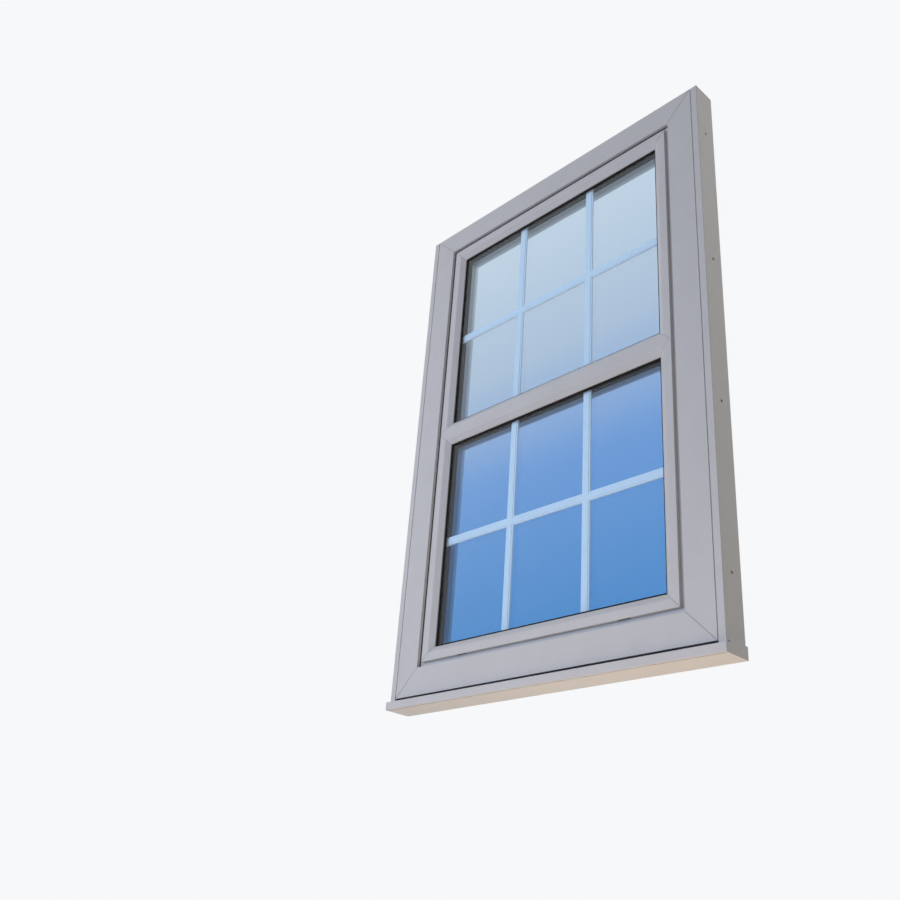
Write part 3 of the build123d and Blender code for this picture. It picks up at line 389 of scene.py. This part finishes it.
# %% Metals and coatings
spangle = 6 * MM
galvanised, tree = new_material("galvanised_steel_with_spangle")
place = add_node(tree, "ShaderNodeTexCoord").outputs["Object"]
crystals = add_node(tree, "ShaderNodeTexVoronoi", {
    "Vector": place, "Scale": 1 / spangle}).outputs["Color"]
shade = add_node(tree, "ShaderNodeSeparateColor", {0: crystals}).outputs[0]
tone = add_node(tree, "ShaderNodeMix", {
    0: shade, 6: colour("#9DA2A6"), 7: colour("#BFC4C8")}, data_type="RGBA").outputs[2]
gloss = add_node(tree, "ShaderNodeMapRange", {
    "Value": shade, "To Min": 0.35, "To Max": 0.55}).outputs[0]
steel = add_node(tree, "ShaderNodeBsdfPrincipled", {
    "Base Color": tone, "Roughness": gloss, "Metallic": 1.0})
finish_material(tree, steel.outputs["BSDF"])

zinc = grained("zinc_plated_steel", "#C3C7CB", "#A9AEB3", grain=3.0 * MM,
               rough=(0.28, 0.42), bump=0.02 * MM, metallic=1.0)
# painted shade: the spacer's black also stands for the shade that lies on it between the panes
black_spacer_shade = grained("black_aluminium_painted_shade", "#191A1D", "#141518", grain=6.0 * MM,
                         rough=(0.45, 0.55), bump=0.01 * MM, ior=1.25)
bar_lacquer = grained("white_lacquered_aluminium", "#F2F4F7", "#ECEEF2", grain=4.0 * MM,
                      rough=(0.25, 0.36), bump=0.01 * MM)
powder_coat = grained("white_powder_coat", "#E6E8EB", "#DEE0E4", grain=1.4 * MM,
                      rough=(0.3, 0.42), bump=0.05 * MM)
packer_plastic = grained("moulded_blue_polypropylene", "#3F6FB0", "#35619E", grain=2.5 * MM,
                         rough=(0.4, 0.55), bump=0.03 * MM)
print("metals and coatings:", galvanised.name, zinc.name, black_spacer_shade.name)

# %% [markdown]
# ## Dressing the model's own pieces
#
# Most pieces of the model have the right shape already, so they keep it and only get their finish.
# One table names the finish of each piece, and a check makes sure that none is forgotten.

# %% Finishes of the model's pieces
finishes = {
    white_level: ("frame_head", "frame_sill_rail", "cill", "sash_top_rail", "sash_bottom_rail",
                  "sash_mid_rail"),
    white_upright: ("frame_left_jamb", "frame_right_jamb", "left_side_strip", "right_side_strip",
                    "cill_end_cap_left", "cill_end_cap_right", "sash_left_stile",
                    "sash_right_stile", "upper_glazing_beads", "lower_glazing_beads"),
    galvanised: ("frame_jamb_steels", "frame_rail_steels", "sash_stile_steels",
                 "sash_rail_steels", "mid_rail_steel"),
    gap_shade_rubber: ("frame_gasket",),
    rubber: ("sash_gasket", "upper_glazing_gaskets", "lower_glazing_gaskets",
             "upper_edge_seal", "lower_edge_seal"),
    pale_glass: ("upper_outer_pane", "lower_outer_pane"),
    coated_glass: ("upper_inner_pane", "lower_inner_pane"),
    black_spacer_shade: ("upper_spacer_bar", "lower_spacer_bar"),
    bar_lacquer: ("upper_georgian_bars", "lower_georgian_bars"),
    packer_plastic: ("glazing_packers",),
    powder_coat: ("handle_lever", "handle_rose"),
    zinc: ("lock_keeps", "tilt_keeps", "frame_hardware_screws", "pivot_bearing", "stay_bearing",
           "corner_link", "hinge_bracket", "stay_guide", "side_faceplate", "top_faceplate",
           "bottom_faceplate", "gearbox", "sash_hardware_screws", "stay_arm", "handle_spindle",
           "side_drive_rod", "side_cams", "top_drive_rod", "top_cam", "bottom_drive_rod",
           "bottom_cams"),
}
for material, names in finishes.items():
    for name in names:
        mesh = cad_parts[name].data
        mesh.materials.clear()
        mesh.materials.append(material)
dressed = {name for names in finishes.values() for name in names}
print("dressed", len(dressed), "of", len(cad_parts))
print("left:", sorted(set(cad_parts) - dressed))

# %% [markdown]
# ## A tree that sweeps a bead along lines
#
# A weld seam and a seal are the same idea: a thin round bead that follows a line. The line could be
# a curve with a bevel depth, but a node tree can be given named sizes and used again for every such
# piece. It turns a wire mesh into curves, runs a circle along them, realises the result and gives
# it a material. The finished mesh then replaces the wire, so that nothing live is left over.

# %% Node tree helpers
def node_tree(name, inputs):
    """A geometry tree with a geometry input and output, and named inputs, each with its kind."""
    tree = bpy.data.node_groups.new(name, "GeometryNodeTree")
    tree.interface.new_socket("Geometry", in_out="INPUT", socket_type="NodeSocketGeometry")
    tree.interface.new_socket("Geometry", in_out="OUTPUT", socket_type="NodeSocketGeometry")
    for label, kind in {**inputs, "Finish": "Material"}.items():
        tree.interface.new_socket(label, in_out="INPUT", socket_type="NodeSocket" + kind)
    return tree, add_node(tree, "NodeGroupInput").outputs


def finish_tree(tree, geometry, finish):
    """Make everything real, give it the material and hand it out."""
    real = add_node(tree, "GeometryNodeRealizeInstances", {0: geometry}).outputs[0]
    done = add_node(tree, "GeometryNodeSetMaterial", {"Geometry": real, "Material": finish})
    add_node(tree, "NodeGroupOutput", {0: done.outputs[0]})


def grown(name, points, edges, tree, values):
    """Run a tree on a wire mesh and keep only the plain mesh that comes out."""
    wire = bpy.data.meshes.new(name + "_wire")
    wire.from_pydata([tuple(p) for p in points], edges, [])
    piece = bpy.data.objects.new(name, wire)
    scene.collection.objects.link(piece)
    grower = piece.modifiers.new("grower", "NODES")
    grower.node_group = tree
    for socket in tree.interface.items_tree:
        if socket.in_out == "INPUT" and socket.name in values:
            grower[socket.identifier] = values[socket.name]
    live = piece.evaluated_get(bpy.context.evaluated_depsgraph_get())
    plain = bpy.data.meshes.new_from_object(live)
    piece.modifiers.remove(grower)
    piece.data = plain
    bpy.data.meshes.remove(wire)
    print(name, len(plain.polygons), "faces")
    return piece


def lines(*runs):
    """Join several runs of points into one list of points and edges."""
    points, edges = [], []
    for run in runs:
        first = len(points)
        points.extend(run)
        edges.extend((first + i, first + i + 1) for i in range(len(run) - 1))
    return points, edges


bead_tree, given = node_tree("bead_along_lines", {"Radius": "Float"})
path = add_node(bead_tree, "GeometryNodeMeshToCurve", {"Mesh": given["Geometry"]}).outputs[0]
round_bead = add_node(bead_tree, "GeometryNodeCurvePrimitiveCircle", {
    "Resolution": 8, "Radius": given["Radius"]}).outputs[0]
swept = add_node(bead_tree, "GeometryNodeCurveToMesh", {
    "Curve": path, "Profile Curve": round_bead, "Fill Caps": True}).outputs[0]
finish_tree(bead_tree, swept, given["Finish"])
print("tree:", bead_tree.name, len(bead_tree.nodes), "nodes")

# %% [markdown]
# ## Where the welds run
#
# The corners are hot-plate welded, and the melted bead that squeezes out is planed away. What stays
# is a fine groove, and a grey bead at its bottom paints the shade in the groove, with some dust.
# The model has the groove, and its run is worked out here from the boxes of the rails: along each
# mitre on both faces, and along the V joints of the middle rail. The frame's outer face lies at Y =
# 0, and the other distances are those of the profile, in from the window's outer edge.

# %% Sizes of the profile and runs of the seams
jamb_low, jamb_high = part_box("frame_right_jamb")
mid_low, mid_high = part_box("sash_mid_rail")
stile_low, stile_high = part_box("sash_right_stile")
half_width = jamb_high.x
frame_foot, frame_head = jamb_low.z, jamb_high.z
middle_level = (mid_low.z + mid_high.z) / 2
mid_half = (mid_high.z - mid_low.z) / 2
seam_depth = 0.9 * MM
seam_end_gap = 0.6 * MM
frame_face_in = seam_depth
frame_back_in = jamb_high.y - seam_depth
sash_face_in = stile_low.y + seam_depth
sash_back_in = stile_high.y - seam_depth
frame_edge, frame_face_end, frame_back_end = 1.0 * MM, 73.0 * MM, 49.0 * MM
sash_edge, sash_flat_end, sash_bevel_end = 87.5 * MM, 109.0 * MM, 124.5 * MM
sash_back_edge, sash_back_end = 43.0 * MM, 104.0 * MM
bevel_width = sash_bevel_end - sash_flat_end
bevel_drop = 10.7 * MM
mid_back_end = 14.0 * MM


def corner_runs(profile):
    """The same run of (distance in from the edge, depth) at all four corners."""
    runs = []
    for side in (-1, 1):
        runs.append([(side * (half_width - u), y, frame_foot + u) for u, y in profile])
        runs.append([(side * (half_width - u), y, frame_head - u) for u, y in profile])
    return runs


def joint_runs(profile):
    """The same run of (distance from the middle, depth) on all four legs of the two V joints."""
    apex = half_width - (sash_bevel_end - mid_half) - seam_end_gap
    return [[(side * (apex - t), y, middle_level + up * t) for t, y in profile]
            for side in (-1, 1) for up in (-1, 1)]


print("bevel in mm:", round(bevel_width / MM, 1), "wide,", round(bevel_drop / MM, 1), "deep")

# %% [markdown]
# ## Weld seams
#
# The bead at the bottom of each groove is a mesh of its own and rides on its own frame, so that the
# seams of the sash turn with the sash. Its grey paints the shade at the bottom of the groove, with
# some dust. A painted line would be quicker, but it would have no depth when the light falls along
# the face.

# %% Weld seams
# painted shade: the grey bead darkens the bottom of each weld groove, with some dust
weld_shade_grey = grained("weld_dust_and_painted_shade", "#A6A7A8", "#8E8F90", grain=3.0 * MM,
                    rough=(0.6, 0.8), bump=0.02 * MM)
seam_radius = 0.7 * MM
frame_seams = corner_runs([(frame_edge, frame_face_in), (frame_face_end, frame_face_in)])
frame_seams += corner_runs([(frame_edge, frame_back_in), (frame_back_end, frame_back_in)])
sash_seams = corner_runs([
    (sash_edge, sash_face_in), (sash_flat_end, sash_face_in),
    (sash_bevel_end - seam_end_gap, sash_face_in + bevel_drop)])
sash_seams += corner_runs([(sash_back_edge, sash_back_in), (sash_back_end, sash_back_in)])
sash_seams += joint_runs([
    (0.0, sash_face_in), (mid_half - bevel_width, sash_face_in),
    (mid_half - seam_end_gap, sash_face_in + bevel_drop)])
sash_seams += joint_runs([(0.0, sash_back_in), (mid_back_end, sash_back_in)])
for body, runs in (("frame", frame_seams), ("sash", sash_seams)):
    seams = grown(body + "_weld_seams", *lines(*runs), bead_tree, {
        "Radius": seam_radius, "Finish": weld_shade_grey})
    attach(seams, body)

# %% [markdown]
# ## Seal and painted shade between the frame and the cill
#
# The frame stands on the cill with a recess below its front edge, where a black foam cord keeps the
# rain out. Its black also paints the shade in that recess, so from the ground it reads as one dark
# line above the cill's nose. It is a straight round bead, so the same tree makes it with a larger
# radius.

# %% Cill seal and painted shade
seal_radius = 3.3 * MM
seal_clearance = 0.2 * MM
seal_end_gap = 1 * MM
seal_setback = 4.6 * MM
seal_level = frame_foot - seal_radius - seal_clearance
seal_reach = half_width - seal_end_gap
seal_line = [(-seal_reach, seal_setback, seal_level), (seal_reach, seal_setback, seal_level)]
# painted shade: the black cord darkens the recess below the frame's front edge
cill_seal_and_shade = grown("cill_joint_seal", *lines(seal_line), bead_tree, {
    "Radius": seal_radius, "Finish": rubber})
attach(cill_seal_and_shade, "frame")

# %% [markdown]
# ## Drain slots
#
# Two slots in the underside of the sash let rain out of the glass rebate. From below they read as
# two dark marks, the shade in the chamber behind them, and that shade is painted: a thin dark bed
# fills the mouth of each slot. Two plain blocks are enough for that, because only one flat face of
# each is ever seen. The sizes are in millimetres.

# %% Painted shade in the drain slots
slot_places, slot_length, slot_low_y, slot_high_y = (-255.0, 255.0), 34.0, 5.0, 10.0
slot_mouth, bed_depth, bed_gap = 116.4, 1.4, 0.1
# painted shade: dark blocks in the slot mouths stand for the shade in the chamber
painted_slot_shade = grained("painted_slot_shade", "#2B2622", "#1F1B18", grain=2.0 * MM,
                   rough=(0.5, 0.7), bump=0.05 * MM)
bed = bmesh.new()
for place in slot_places:
    size = Vector((slot_length - bed_gap, slot_high_y - slot_low_y - bed_gap, bed_depth)) * MM
    centre = Vector((place, (slot_low_y + slot_high_y) / 2, slot_mouth + bed_depth / 2)) * MM
    bmesh.ops.create_cube(bed, size=1.0, matrix=Matrix.LocRotScale(centre, None, size))
bed_mesh = bpy.data.meshes.new("drain_slot_dust")
bed.to_mesh(bed_mesh)
bed.free()
slot_shade_blocks = bpy.data.objects.new("drain_slot_dust", bed_mesh)
scene.collection.objects.link(slot_shade_blocks)
bed_mesh.materials.append(painted_slot_shade)
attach(slot_shade_blocks, "sash")
print("drain slot shade:", len(bed_mesh.polygons), "faces")

# %% [markdown]
# ## Screws in the hardware plates
#
# The faceplates that close the sash's hardware groove are held by small countersunk screws with a
# cross recess. One screw head is modelled, and a node tree sets a copy of it on every point of a
# wire, turned to look along a given direction. A recess is cut for real, because a painted cross
# would show at once when light falls along the plate.

# %% Screw head
rim_points = 16
rim_taper, recess_taper, recess_share = 0.8, 0.7, 0.75


def screw_head(name, radius, thickness, arm, reach):
    """A flat head that looks along Z, with a cross-shaped recess and a closed underside. Each arm
    of the cross is twice arm wide and ends at reach from the middle."""
    head = bmesh.new()
    turns = [2 * math.pi * i / rim_points for i in range(rim_points)]
    rim = [head.verts.new((radius * math.cos(a), radius * math.sin(a), 0.0)) for a in turns]
    corners = [(arm, reach), (-arm, reach), (-arm, arm), (-reach, arm), (-reach, -arm),
               (-arm, -arm), (-arm, -reach), (arm, -reach), (arm, -arm), (reach, -arm),
               (reach, arm), (arm, arm)]
    cross = [head.verts.new((x, y, 0.0)) for x, y in corners]
    edges = [head.edges.new((loop[i], loop[(i + 1) % len(loop)]))
             for loop in (rim, cross) for i in range(len(loop))]
    bmesh.ops.triangle_fill(head, edges=edges, use_beauty=True, use_dissolve=False)
    for loop, depth, taper in ((rim, thickness, rim_taper),
                               (cross, recess_share * thickness, recess_taper)):
        lower = [head.verts.new((v.co.x * taper, v.co.y * taper, -depth)) for v in loop]
        for i in range(len(loop)):
            j = (i + 1) % len(loop)
            head.faces.new((loop[i], loop[j], lower[j], lower[i]))
        head.faces.new(lower)
    bmesh.ops.recalc_face_normals(head, faces=head.faces)
    mesh = bpy.data.meshes.new(name)
    head.to_mesh(mesh)
    head.free()
    return bpy.data.objects.new(name, mesh)


pattern = screw_head("screw_head_pattern", radius=3.4 * MM, thickness=1.0 * MM,
                     arm=0.45 * MM, reach=1.9 * MM)
set_tree, given = node_tree("set_on_points", {"Pattern": "Object", "Direction": "Vector"})
points = add_node(set_tree, "GeometryNodeMeshToPoints", {"Mesh": given["Geometry"]}).outputs[0]
shape = add_node(set_tree, "GeometryNodeObjectInfo", {
    "Object": given["Pattern"]}).outputs["Geometry"]
facing = add_node(set_tree, "FunctionNodeAlignRotationToVector", {
    "Vector": given["Direction"]}, axis="Z").outputs[0]
copies = add_node(set_tree, "GeometryNodeInstanceOnPoints", {
    "Points": points, "Instance": shape, "Rotation": facing}).outputs[0]
finish_tree(set_tree, copies, given["Finish"])
print("screw head:", len(pattern.data.polygons), "faces")

# %% [markdown]
# ## Where the screws go
#
# Each plate has six to nine screws, clear of the slots that the cams run in. The heads sit a tenth
# of a millimetre proud of the plate, as a countersunk head does once it is driven home. The table
# gives, for each plate, the way that it faces, the way that it runs, and where the screws are along
# it, in millimetres from its middle.

# %% Screws along the plates
screw_proud = 0.1 * MM
right, up, down = Vector((1, 0, 0)), Vector((0, 0, 1)), Vector((0, 0, -1))
plate_screws = {
    "side_faceplate": (right, up, (-650, -560, -350, -170, 90, 250, 380, 560, 650)),
    "top_faceplate": (up, right, (-400, -280, -140, 60, 330, 405)),
    "bottom_faceplate": (down, right, (-405, -200, -60, 20, 230, 400)),
}
for node, (outward, along, stations) in plate_screws.items():
    low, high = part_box(node)
    half_thick = abs((high - low).dot(outward)) / 2
    surface = (low + high) / 2 + outward * (half_thick + screw_proud)
    spots = [surface + along * station * MM for station in stations]
    screws = grown(node.replace("faceplate", "plate_screws"), spots, [], set_tree, {
        "Pattern": pattern, "Direction": outward, "Finish": zinc})
    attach(screws, "sash")

# %% [markdown]
# ## Perforated spacer
#
# The spacer is filled with drying beads, and fine slits in its face let them breathe into the
# cavity. They are punched every few millimetres along the whole run, in two rows. A line along each
# row is cut into equal steps, and each step gets the thin lip that the punch raises, in the same
# black, so that the spacer stays one dark line from a distance and shows its slits from close by.

# %% Spacer slits
slit_tree, given = node_tree("slits_along_lines", {
    "Spacing": "Float", "Slit Length": "Float", "Slit Width": "Float", "Slit Height": "Float"})
path = add_node(slit_tree, "GeometryNodeMeshToCurve", {"Mesh": given["Geometry"]}).outputs[0]
steps = add_node(slit_tree, "GeometryNodeResampleCurve", {
    "Curve": path, "Length": given["Spacing"]}, mode="LENGTH").outputs[0]
size = add_node(slit_tree, "ShaderNodeCombineXYZ", {
    0: given["Slit Height"], 1: given["Slit Width"], 2: given["Slit Length"]}).outputs[0]
slit = add_node(slit_tree, "GeometryNodeMeshCube", {"Size": size}).outputs[0]
tangent = add_node(slit_tree, "GeometryNodeInputTangent").outputs[0]
facing = add_node(slit_tree, "FunctionNodeAlignRotationToVector", {
    "Vector": tangent}, axis="Z").outputs[0]
copies = add_node(slit_tree, "GeometryNodeInstanceOnPoints", {
    "Points": steps, "Instance": slit, "Rotation": facing}).outputs[0]
finish_tree(slit_tree, copies, given["Finish"])

spacer_height = 8.0 * MM
slit_sunk = 0.02 * MM
row_offset = 2.0 * MM
corner_gap = 12 * MM
inset = spacer_height - slit_sunk
for light in ("upper", "lower"):
    low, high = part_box(light + "_spacer_bar")
    x0, x1, z0, z1 = low.x + inset, high.x - inset, low.z + inset, high.z - inset
    runs = []
    for offset in (-row_offset, row_offset):
        y = (low.y + high.y) / 2 + offset
        runs += [[(x0 + corner_gap, y, z), (x1 - corner_gap, y, z)] for z in (z0, z1)]
        runs += [[(x, y, z0 + corner_gap), (x, y, z1 - corner_gap)] for x in (x0, x1)]
    slits = grown(light + "_spacer_slits", *lines(*runs), slit_tree, {
        "Spacing": 5.0 * MM, "Slit Length": 2.2 * MM, "Slit Width": 0.4 * MM,
        "Slit Height": 0.1 * MM, "Finish": black_spacer_shade})
    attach(slits, "sash")

# %% [markdown]
# ## A skin through rings
#
# The model's lever is a flat bar on a round neck. The real one is cast in one sweep: the round neck
# leaves the rose, bends over and flattens into a grip that gets slimmer towards its end. It could
# be a bevelled curve, but its section changes from round to a flat oval. So rings of points are set
# along the sweep and joined, and these two helpers make a ring and the skin through all rings.

# %% Ring and skin
def sweep(name, rings):
    """Join rings of equal length into one closed skin with a face on each end."""
    skin = bmesh.new()
    loops = [[skin.verts.new(point) for point in ring] for ring in rings]
    for near, far in zip(loops, loops[1:]):
        for i in range(len(near)):
            j = (i + 1) % len(near)
            skin.faces.new((near[i], near[j], far[j], far[i]))
    skin.faces.new(loops[0])
    skin.faces.new(loops[-1])
    bmesh.ops.recalc_face_normals(skin, faces=skin.faces)
    mesh = bpy.data.meshes.new(name)
    skin.to_mesh(mesh)
    skin.free()
    mesh.shade_smooth()
    piece = bpy.data.objects.new(name, mesh)
    scene.collection.objects.link(piece)
    return piece


ring_points = 32


def grip_ring(centre, across, half_across, half_high, squareness):
    """An oval round one point of the sweep, with its half sizes in millimetres. A squareness of 2
    is a plain ellipse, and more than 2 fills the corners."""
    ring = []
    for i in range(ring_points):
        a = 2 * math.pi * i / ring_points
        u, v = math.cos(a), math.sin(a)
        u = math.copysign(abs(u) ** (2 / squareness), u) * half_across * MM
        v = math.copysign(abs(v) ** (2 / squareness), v) * half_high * MM
        ring.append(centre + across * u + Vector((0, 0, v)))
    return ring


print("points in a ring:", ring_points)

# %% [markdown]
# ## Handle lever
#
# The lever is drawn level, as the model has it, and turns about the axis of its spindle. The neck
# goes straight out of the rose, the bend turns a quarter circle towards the middle of the window,
# and the grip runs along the sash. The last rings close the tip like a dome. The sizes are in
# millimetres.

# %% Lever
low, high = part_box("handle_spindle")
axis_x, axis_z = (low.x + high.x) / 2, (low.z + high.z) / 2
neck_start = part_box("handle_lever")[0].y
neck_rings = ((0.0, 9.0), (6.0, 9.0), (9.0, 8.4), (13.0, 7.8), (20.0, 7.6))
neck_radius = 7.6
bend_radius, bend_y, bend_steps = 8.0, 110.0, 8
bend_thick, bend_high = 5.8, 9.8
round_section, grip_section = 2.0, 2.5
grip_rings, grip_high = (20, 35, 55, 75, 95), 9.9
tip_start, tip_length, tip_thick, tip_high = 113.0, 9.8, 5.0, 8.0
dome_steps, dome_step_angle = 6, math.radians(14)
grip_y = (bend_y + bend_radius) * MM


def between(first, last, part):
    """The value that lies a given part of the way from first to last."""
    return first + (last - first) * part


rings = []
for step, radius in neck_rings:
    centre = Vector((axis_x, neck_start + step * MM, axis_z))
    rings.append(grip_ring(centre, Vector((1, 0, 0)), radius, radius, round_section))
for step in range(bend_steps + 1):
    part = step / bend_steps
    a = part * math.pi / 2
    across = Vector((math.cos(a), math.sin(a), 0))
    middle = Vector((axis_x - bend_radius * MM, bend_y * MM, axis_z))
    rings.append(grip_ring(
        middle + across * bend_radius * MM, across, between(neck_radius, bend_thick, part),
        between(neck_radius, bend_high, part), between(round_section, grip_section, part)))
for x in (*grip_rings, tip_start):
    slim = x / tip_start
    rings.append(grip_ring(
        Vector((axis_x - x * MM, grip_y, axis_z)), Vector((0, 1, 0)),
        between(bend_thick, tip_thick, slim), between(grip_high, tip_high, slim), grip_section))
for step in range(1, dome_steps + 1):
    a = step * dome_step_angle
    x = tip_start + tip_length * math.sin(a)
    rings.append(grip_ring(
        Vector((axis_x - x * MM, grip_y, axis_z)), Vector((0, 1, 0)),
        tip_thick * math.cos(a), tip_high * math.cos(a), grip_section))
lever = sweep("handle_grip", rings)
lever.data.materials.append(powder_coat)
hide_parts("handle_lever")
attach(lever, "handle")
print("lever:", len(lever.data.polygons), "faces")

# %% [markdown]
#
# The looks must not make the window larger than its model, so the box of everything shown is found.

# %% Sizes and the end
low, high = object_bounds()
